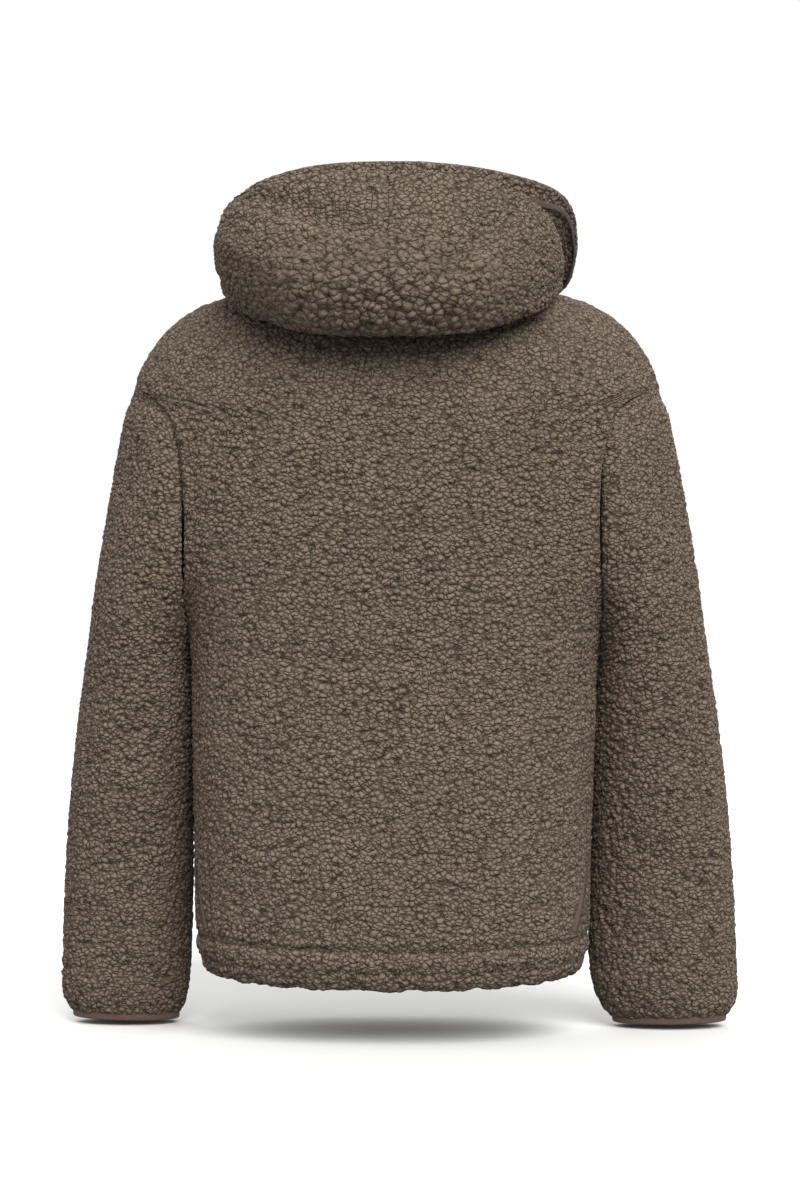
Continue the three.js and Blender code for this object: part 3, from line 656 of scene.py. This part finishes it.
# %% The knitted back of the fleece, and the smooth knitted binding
def knit(name, light, dark, gauge, rough, depth):
    """A jersey knit: rows of small loops, gauge mm apart, with a mottled dye."""
    material, tree = new_material(name)
    at = node(tree, "ShaderNodeAttribute", {"attribute_name": "rest"}).outputs["Vector"]
    wave = node(
        tree, "ShaderNodeTexWave", {"bands_direction": "DIAGONAL"},
        Vector=at, Scale=1 / gauge / 3.3, Distortion=1.6, Detail=1.0, Detail_Scale=1.5,
    )
    grain = node(tree, "ShaderNodeTexNoise", Vector=at, Scale=0.55, Detail=3.0)
    both = calculated(tree, "MULTIPLY_ADD", wave.outputs["Fac"], 0.35, grain.outputs[0])
    share = node(tree, "ShaderNodeMapRange", i0=both, i1=0.35, i2=1.0, i3=0.0, i4=1.0).outputs[0]
    colour = node(tree, "ShaderNodeMix", {"data_type": "RGBA"}, i0=share, i6=linear(dark), i7=linear(light))
    bump = node(tree, "ShaderNodeBump", Strength=0.5, Distance=depth * MM, Height=both)
    surface = node(
        tree, "ShaderNodeBsdfPrincipled",
        Base_Color=colour.outputs[2], Roughness=rough, Specular_IOR_Level=0.25,
        Sheen_Weight=0.15, Sheen_Roughness=0.5, Normal=bump.outputs[0],
    )
    out = tree.nodes.new("ShaderNodeOutputMaterial")
    tree.links.new(surface.outputs[0], out.inputs[0])
    return material


# the crown colour is the pile's own; the low and the deep colours are painted shade on the curls' sides and
# in their cracks
PILE_CROWN, PILE_LOW_PAINTED_SHADE, PILE_CRACK_PAINTED_SHADE = "#817264", "#65584c", "#261e17"
PILE_BUMP = 1.7  # mm, the part of a curl's height that is too fine for the mesh
PILE = sherpa_pile("sherpa_pile_tumbled_polyester", False)
OPEN_PILE = sherpa_pile("sherpa_pile_opened_at_the_fold", True)
BACKING = knit("fleece_backing_brushed_knit", "#84776a", "#6a5e52", 1.6, 0.95, 0.4)
BINDING = knit("binding_jersey_knit_cotton", "#6a554a", "#46372f", 1.2, 0.85, 0.35)
print("Materials:", [m.name for m in (PILE, OPEN_PILE, BACKING, BINDING)])

# %% [markdown]
# ## The cut pieces
# Each piece's grid is evened out along its rows, so that curls get the same number of points
# everywhere. The pile is shorter at seams, where stitches hold it down.

# %% Making a fleece piece from its skin
PILE_UNDER = 2.1  # mm from the curls' crowns down to the surface that they are lifted from
PILE_LIFT = 2.3  # mm that a crown is lifted


def fleece(name, skin, rows, columns, tube=False, thick=None, ease=None, inner_pile=None, roll=3.2):
    """skin(column shares, row shares, out) gives points; ease lowers the surface in mm."""
    meshes = []
    for face, step in (("outside", 1), ("inside", 4)):
        across, along = columns // step, rows // step
        v = np.linspace(0, 1, along + 1)
        u = evened(skin, v, across)
        v = np.repeat(v[:, None], across + 1, axis=1)
        ends, sides = gap_to_rim(skin(u, v, np.zeros_like(u)), tube)
        wall = CLOTH * np.ones_like(u) if thick is None else thick(u, v)
        rounding = np.minimum(edge_round(ends, wall / 2), edge_round(sides, roll))
        half = wall / 2 - (PILE_UNDER / 2 if face == "outside" else 0)
        depth = -wall / 2 - (PILE_UNDER / 2 if face == "outside" else 0)
        sign = 1 if face == "outside" else -1
        out = depth + sign * half * np.maximum(rounding, 0.06)
        if ease is not None:
            out = out - ease(u, v)
        spots = skin(u, v, out)
        pile = np.zeros_like(u)
        if face == "outside":
            pile = PILE_LIFT * MM * (0.45 + 0.55 * smooth(0, 7, np.minimum(ends, sides)))
        elif inner_pile is not None:
            pile = inner_pile(u, v) * MM
        coarse = np.zeros_like(u)
        if name.startswith("hood"):
            coarse = hood_coarse(u, v)
        if name.startswith("hood") and face == "outside":
            pile = pile * (1 + 0.35 * coarse)
        meshes.append(grid_on(face, spots, rest=spots, pile=pile, coarse=coarse))
    piece = closed_cloth(name, *meshes, tube=tube)
    for material in (OPEN_PILE if name.startswith("hood") else PILE, BACKING):
        piece.data.materials.append(material)
    return piece


# %% Front and back panels
HEM_RIPPLE, ROLL_OVER = 0.8, 2.4  # mm that the hem's edge waves, and that the armhole's edge stands proud
HEM_WAVES = ((HEM_LINE, 3.2, 1.7), (31, 6, -0.9), (20.5, 3, 1.1), (9, 6, -0.9))  # height, width, depth
SEAM_CROSS = 0.7  # mm that the pile on one side of a seam reaches over it, so that no light comes through


def panel_skin(is_back):
    away = 1 if is_back else -1

    def skin(u, v, out):
        rise = v * NECK
        edge = edge_turn(rise, is_back) * away
        cross = SEAM_CROSS / BODY_HALF
        turn = away * mix(edge - cross, math.pi - edge + cross, u)
        spot = body_skin(turn, rise, out)
        ripple = np.sin(23 * turn) + 0.7 * np.sin(38 * turn + 1.3) + 0.5 * np.sin(61 * turn + 0.4)
        spot[..., 2] += HEM_RIPPLE * ripple * (1 - smooth(0, 26, rise))
        return spot

    return skin


def panel_ease(is_back):
    """The edge that rolls over at the armhole, and the hem's stitched groove and soft crease."""
    away = 1 if is_back else -1

    def ease(u, v):
        rise = v * NECK
        to_edge = np.minimum(u, 1 - u) * (math.pi - 2 * edge_turn(rise, is_back) * away) * BODY_HALF
        rolled = smooth(UNDERARM - 40, UNDERARM + 40, rise) * (1 - smooth(545, 580, rise))
        lowered = -ROLL_OVER * np.exp(-(((to_edge - 8) / 6) ** 2)) * rolled
        for height, width, depth in HEM_WAVES:
            lowered = lowered + depth * np.exp(-(((rise - height) / width) ** 2))
        return lowered

    return ease


def hem_wall(u, v):
    return mix(HEM_CLOTH, CLOTH, smooth(HEM_LINE - 4, HEM_LINE + 4, v * NECK))


def hem_pile(u, v):
    """The hem is turned up inside, so its pile shows there below the stitch line."""
    return 0.9 * (1 - smooth(HEM_LINE - 6, HEM_LINE, v * NECK))


def hood_coarse(u, v):
    """1 where the hood's fold opens the pile into big curls: low in the middle of its back."""
    turn = np.degrees(u * math.pi)
    return (1 - smooth(10, 56, turn)) * smooth(0.33, 0.42, v) * (1 - smooth(0.47, 0.66, v))


panels = {}
for name, is_back, rows, columns in (("back_panel", True, 368, 224), ("front_panel", False, 336, 200)):
    panels[name] = fleece(
        name, panel_skin(is_back), rows, columns,
        thick=hem_wall, ease=panel_ease(is_back), inner_pile=hem_pile,
    )
back, front = panels.values()

# %% Sleeves, open tubes that start at the armhole
PRESS = 6.5  # mm that a sleeve presses against the body under the arm
ARM_TUCK, ARM_DIP = 4.4, 3.2  # mm that a sleeve's edge goes in under the body's, and lies lower beside it
CUFF_OVER = 2.6  # mm that the pile puffs down over the cuff's binding


def arm_skin(side):
    def skin(u, v, out):
        turn = math.pi - side * 2 * math.pi * u
        towards_body = np.exp(-(((np.degrees(turn) % 360 - 180) / 62) ** 2))
        pressed = PRESS * towards_body * smooth(0, 0.05, v) * (1 - smooth(0.5, 0.8, v))
        sunk = ARM_DIP * np.exp(-(((v * SLEEVE_LONG - 7) / 12) ** 2)) * smooth(0.1, 0.6, abs(np.sin(turn)))
        spot = sleeve_skin(side, turn, v, out + cap_rise(v) + pressed - sunk)
        ahead = unit(sleeve_skin(side, turn, v + 0.01, out) - sleeve_skin(side, turn, v, out))
        spot = spot - ahead * (ARM_TUCK * (1 - smooth(0, 0.014, v)))[..., None]
        puff = CUFF_OVER + 0.7 * np.sin(9 * turn) + 0.6 * np.sin(14 * turn + 2)
        spot[..., 2] -= puff * smooth(0.975, 1, v)
        return spot

    return skin


sleeves = {}
for label, side in (("left", 1), ("right", -1)):
    sleeves[label] = fleece(f"sleeve_{label}_cloth", arm_skin(side), 288, 256, tube=True)

# %% Hood halves, which meet in a seam down the middle
HOOD_TUCK = 0.9  # mm that each half's pile crosses the seam


def hood_wall(u, v):
    return mix(CLOTH, HEM_CLOTH, smooth(TAPE_FROM, TAPE_TO, v))


def hood_half_skin(side):
    def skin(u, v, out):
        turn = u * math.pi
        fold = fold_depth(HOOD_FOLDS[side], np.degrees(turn), v, "along", HOOD_SCALE)
        spot = hood_skin(side, turn, v, out - fold)
        beside_seam = 1 - smooth(0, 0.05, np.minimum(u, 1 - u))
        outer_part = smooth(-0.9, -0.55, out / hood_wall(u, v))
        spot[..., 0] -= side * (HOOD_TUCK * beside_seam * outer_part)
        return spot

    return skin


def rim_pile(u, v):
    """The rim's hem is turned in, so its pile shows inside the hood."""
    return 1.1 * smooth(0.93, 0.95, v)


hoods = {}
for label, side in (("left", 1), ("right", -1)):
    hoods[label] = fleece(
        f"hood_{label}_cloth", hood_half_skin(side), 184, 288, thick=hood_wall, inner_pile=rim_pile, roll=2.4
    )

# %% [markdown]
# ## Slits for the pockets
# The pocket mouths are cut through the front, and a smooth welt lies in each. A thin closed block
# on the body's skin is the knife, and Blender's Boolean modifier cuts with it.


# %% A rounded strip of cloth along a line, for knives, welts, tapes and bindings
STRIP_STEP, STRIP_HALF = 2.2, 4  # mm of knit for one step along a strip, and for half its width


def strip(name, place, length, ring=False, section=14, square=3.2):
    """place(run 0-1, sideways -1 to 1, depth -1 to 1) gives points; length is how many steps long."""
    v = np.linspace(0, 1, length + 1)
    u = np.linspace(0, 1, section * 2 + 1)
    u, v = np.meshgrid(u, v)
    around = 2 * math.pi * u
    sideways, depth = power(np.cos(around), 2 / square), power(np.sin(around), 2 / square)
    if not ring:
        close = edge_round(np.minimum(v, 1 - v), 0.012)
        sideways, depth = sideways * np.maximum(close, 1e-3), depth * np.maximum(close, 1e-3)
    spots = place(v, sideways, depth)
    rest = points(v * length * STRIP_STEP, sideways * STRIP_HALF, depth)
    mesh = grid_on(name, spots, rest=rest, pile=np.zeros_like(u), coarse=np.zeros_like(u))
    bm = bmesh.new()
    bm.from_mesh(mesh)
    bmesh.ops.remove_doubles(bm, verts=bm.verts, dist=2e-5)
    rims = [e for e in bm.edges if e.is_boundary]
    if rims:
        bmesh.ops.holes_fill(bm, edges=rims, sides=0)
    bmesh.ops.recalc_face_normals(bm, faces=bm.faces)
    for face in bm.faces:
        face.smooth = True
    bm.to_mesh(mesh)
    open_edges = sum(e.is_boundary for e in bm.edges)
    bm.free()
    piece = laid_out(name, mesh)
    piece.data.materials.append(BINDING)
    print(f"{name}: {len(mesh.polygons)} faces, {open_edges} open edges")
    return piece


def pocket_place(side, grown, outer, inner):
    def spot(share):
        turn = np.radians(mix(POCKET["low_turn"], POCKET["high_turn"], share))
        return (turn if side > 0 else math.pi - turn), mix(POCKET["low_rise"], POCKET["high_rise"], share)

    def place(run, sideways, depth):
        trim = 0.02 - grown / POCKET["long"]
        share = mix(trim, 1 - trim, run)
        turn, rise = spot(share)
        ahead = unit(body_form(*spot(share + 0.01)) - body_form(turn, rise))
        normal = normal_of(body_form, turn, rise, 0.004, 1)
        gape = mix(POCKET["wide"], POCKET["narrow"], smooth(0.2, 0.42, share))
        half = gape * smooth(-0.12, 0.06, share) + grown
        out = mix(inner, outer, (depth + 1) / 2)
        return body_skin(turn, rise, out) + np.cross(ahead, normal) * (sideways * half)[..., None]

    return place


# %% Cutting the slits
KNIFE_OVER, KNIFE_UNDER = 6, 11  # mm that the knife reaches out of the cloth, and in through it
for label, side in (("left", 1), ("right", -1)):
    knife = strip(f"knife_{label}", pocket_place(side, SEAM_GAP, KNIFE_OVER, -KNIFE_UNDER), 60)
    cut = front.modifiers.new("slit", "BOOLEAN")
    cut.operation, cut.solver, cut.object = "DIFFERENCE", "MANIFOLD", knife
    bpy.context.view_layer.update()
    mesh = bpy.data.meshes.new_from_object(front.evaluated_get(bpy.context.evaluated_depsgraph_get()))
    front.modifiers.clear()
    front.data = mesh
    bpy.data.objects.remove(knife)
front.data.name = front.name
print("Front panel after the slits:", len(front.data.polygons), "faces")

# %% Lifting the curls on every fleece piece
cloths = [back, front, *sleeves.values(), *hoods.values()]
for piece in cloths:
    curl(piece)

# %% [markdown]
# ## Smooth trims
# The welts, the tape along the hood's hem and the bindings round the cuffs are strips of smooth
# knit, each with a rounded section.

# %% Welts, tapes and bindings
trims = {}
for label, side in (("left", 1), ("right", -1)):
    recess, thick = POCKET["recess"], POCKET["thick"]
    trims[f"pocket_welt_{label}"] = strip(
        f"welt_{label}", pocket_place(side, 0, -recess, -recess - thick), 90
    )

    def tape_place(run, sideways, depth, side=side):
        turn = mix(0.003, math.pi - 0.003, run)
        along = mix(TAPE_FROM, TAPE_SEWN, (sideways + 1) / 2)
        out = SEAM_GAP + TAPE_THICK * (depth + 1) / 2
        return hood_skin(side, turn, along, out)

    trims[f"hood_tape_{label}"] = strip(f"tape_{label}", tape_place, 240)

    def binding_place(run, sideways, depth, side=side):
        turn = 2 * math.pi * run
        out = CLOTH - BINDING_INSET - BINDING_THICK * (1 - depth) / 2
        spot = sleeve_skin(side, turn, np.ones_like(run), out)
        spot[..., 2] -= SEAM_GAP + BINDING_DEEP * (1 - sideways) / 2
        return spot

    trims[f"cuff_binding_{label}"] = strip(f"binding_{label}", binding_place, 150, ring=True)

# %% [markdown]
# ## Stitches
# The hem is held by a row of stitches that sink into the pile and pull a groove along it.


# %% Hem stitches, one short thread after another
STITCH_PITCH, STITCH_SPAN = 3.9, 3  # mm from one stitch to the next, and between its two needle holes
STITCH_LOW = -1.1  # mm, so a stitch lies below the cloth's skin
STITCH_HALF, THREAD_HALF = 1.6, 0.42  # mm, half a stitch's length and half its thread's thickness


def hem_stitches():
    bm = bmesh.new()
    turn = np.linspace(0, 2 * math.pi, 1600)
    rise = np.full_like(turn, HEM_LINE)
    line = body_skin(turn, rise, np.full_like(turn, STITCH_LOW))
    run = np.concatenate([[0], np.cumsum(np.linalg.norm(np.diff(line, axis=0), axis=1))])
    count = int(run[-1] / STITCH_PITCH)
    for k in range(count):
        middle = (k + 0.5) * run[-1] / count
        ends = (middle - STITCH_SPAN / 2, middle + STITCH_SPAN / 2)
        a, b = (Vector([np.interp(end, run, line[:, c]) for c in range(3)]) * MM for end in ends)
        turned = (b - a).to_track_quat("X", "Z").to_matrix().to_4x4()
        size = Matrix.Diagonal((STITCH_HALF * MM, THREAD_HALF * MM, THREAD_HALF * MM, 1))
        bmesh.ops.create_uvsphere(
            bm, u_segments=6, v_segments=5, radius=1, matrix=Matrix.Translation((a + b) / 2) @ turned @ size
        )
    mesh = bpy.data.meshes.new("hem_stitches")
    bm.to_mesh(mesh)
    bm.free()
    for polygon in mesh.polygons:
        polygon.use_smooth = True
    print("hem_stitches:", count, "stitches")
    return laid_out("hem_stitches", mesh)


# The stitches keep no place on the cloth, so the knit's pattern is one even tone on them
THREAD = knit("sewing_thread_spun_polyester", "#5b4b40", "#43362d", 0.6, 0.7, 0.1)
stitches = hem_stitches()
stitches.data.materials.append(THREAD)

# %% [markdown]
# ## What stands for what
# Each dressed piece rides on the part's one body and replaces its CAD node.

# %% Riding and replacing
for piece, cad in (
    (back, "back"), (front, "front"),
    (sleeves["left"], "sleeve_left"), (sleeves["right"], "sleeve_right"),
    (hoods["left"], "hood_left"), (hoods["right"], "hood_right"),
):
    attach(piece, "root")
    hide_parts(cad)
for cad, piece in trims.items():
    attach(piece, "root")
    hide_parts(cad)
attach(stitches, "root")

# %% [markdown]
# ## Studio
# A white sweep, a soft white surround and three large soft lights, as for a catalogue picture.

# %% Camera, at chest height behind the garment
CAMERA_TURN, CAMERA_FAR, CAMERA_ASIDE, CAMERA_HEIGHT = math.radians(3), 2.8, 0.005, -0.3025
ahead = Vector((math.sin(CAMERA_TURN), -math.cos(CAMERA_TURN), 0))
beside = Vector((-math.cos(CAMERA_TURN), -math.sin(CAMERA_TURN), 0))
camera = bpy.data.objects.new("camera", bpy.data.cameras.new("camera"))
bpy.context.collection.objects.link(camera)
camera.data.sensor_width, camera.data.sensor_fit, camera.data.lens = 36, "HORIZONTAL", 126
camera.data.clip_start, camera.data.clip_end = 0.05, 50
camera.location = -CAMERA_FAR * ahead + CAMERA_ASIDE * beside + Vector((0, 0, CAMERA_HEIGHT))
camera.rotation_euler = ahead.to_track_quat("-Z", "Y").to_euler()
bpy.context.scene.camera = camera
print("Camera:", CAMERA_FAR, "m away with a lens of", camera.data.lens, "mm")

# %% Floor
FLOOR, FLOOR_HALF = -0.742, 7
bm = bmesh.new()
under = Matrix.Translation((0, 0, FLOOR))
bmesh.ops.create_grid(bm, x_segments=1, y_segments=1, size=FLOOR_HALF, matrix=under)
floor = bpy.data.objects.new("floor", bpy.data.meshes.new("floor"))
bm.to_mesh(floor.data)
bm.free()
bpy.context.collection.objects.link(floor)
paper, tree = new_material("paper_matt_white")
surface = node(
    tree, "ShaderNodeBsdfPrincipled", Base_Color=linear("#f4f4f2"), Roughness=0.9, Specular_IOR_Level=0.1
)
tree.links.new(surface.outputs[0], tree.nodes.new("ShaderNodeOutputMaterial").inputs[0])
floor.data.materials.append(paper)


# %% Lights
def soft_light(name, towards, strength, spread):
    """A broad light that comes from one direction; spread is its width in degrees, as a big softbox's."""
    lamp = bpy.data.objects.new(name, bpy.data.lights.new(name, "SUN"))
    lamp.data.energy, lamp.data.angle = strength, math.radians(spread)
    lamp.rotation_euler = Vector(towards).to_track_quat("Z", "Y").to_euler()
    bpy.context.collection.objects.link(lamp)
    return lamp


soft_light("key_above_right", (-0.42, 1.0, 0.85), 3.6, 45)
soft_light("fill_left", (0.9, 0.8, 0.6), 0.6, 80)
soft_light("top_front", (0.3, -0.85, 0.9), 1.5, 60)
floor.visible_diffuse = False  # a bright floor would light the curls from below and flatten them
world = bpy.data.worlds.new("studio")
world.use_nodes = True
tree = world.node_tree
seen = node(tree, "ShaderNodeLightPath").outputs["Is Camera Ray"]
direction = node(tree, "ShaderNodeTexCoord").outputs["Generated"]
up = node(tree, "ShaderNodeSeparateXYZ", Vector=direction).outputs["Z"]
sky = node(tree, "ShaderNodeMapRange", i0=up, i1=-0.6, i2=0.9, i3=0.2, i4=0.55).outputs[0]
strength = node(tree, "ShaderNodeMix", {"data_type": "FLOAT"}, i0=seen, i2=sky, i3=1.0).outputs[0]
tree.links.new(strength, tree.nodes["Background"].inputs[1])
tree.nodes["Background"].inputs[0].default_value = (1, 1, 1, 1)
bpy.context.scene.world = world
bpy.context.scene.view_settings.view_transform = "Standard"
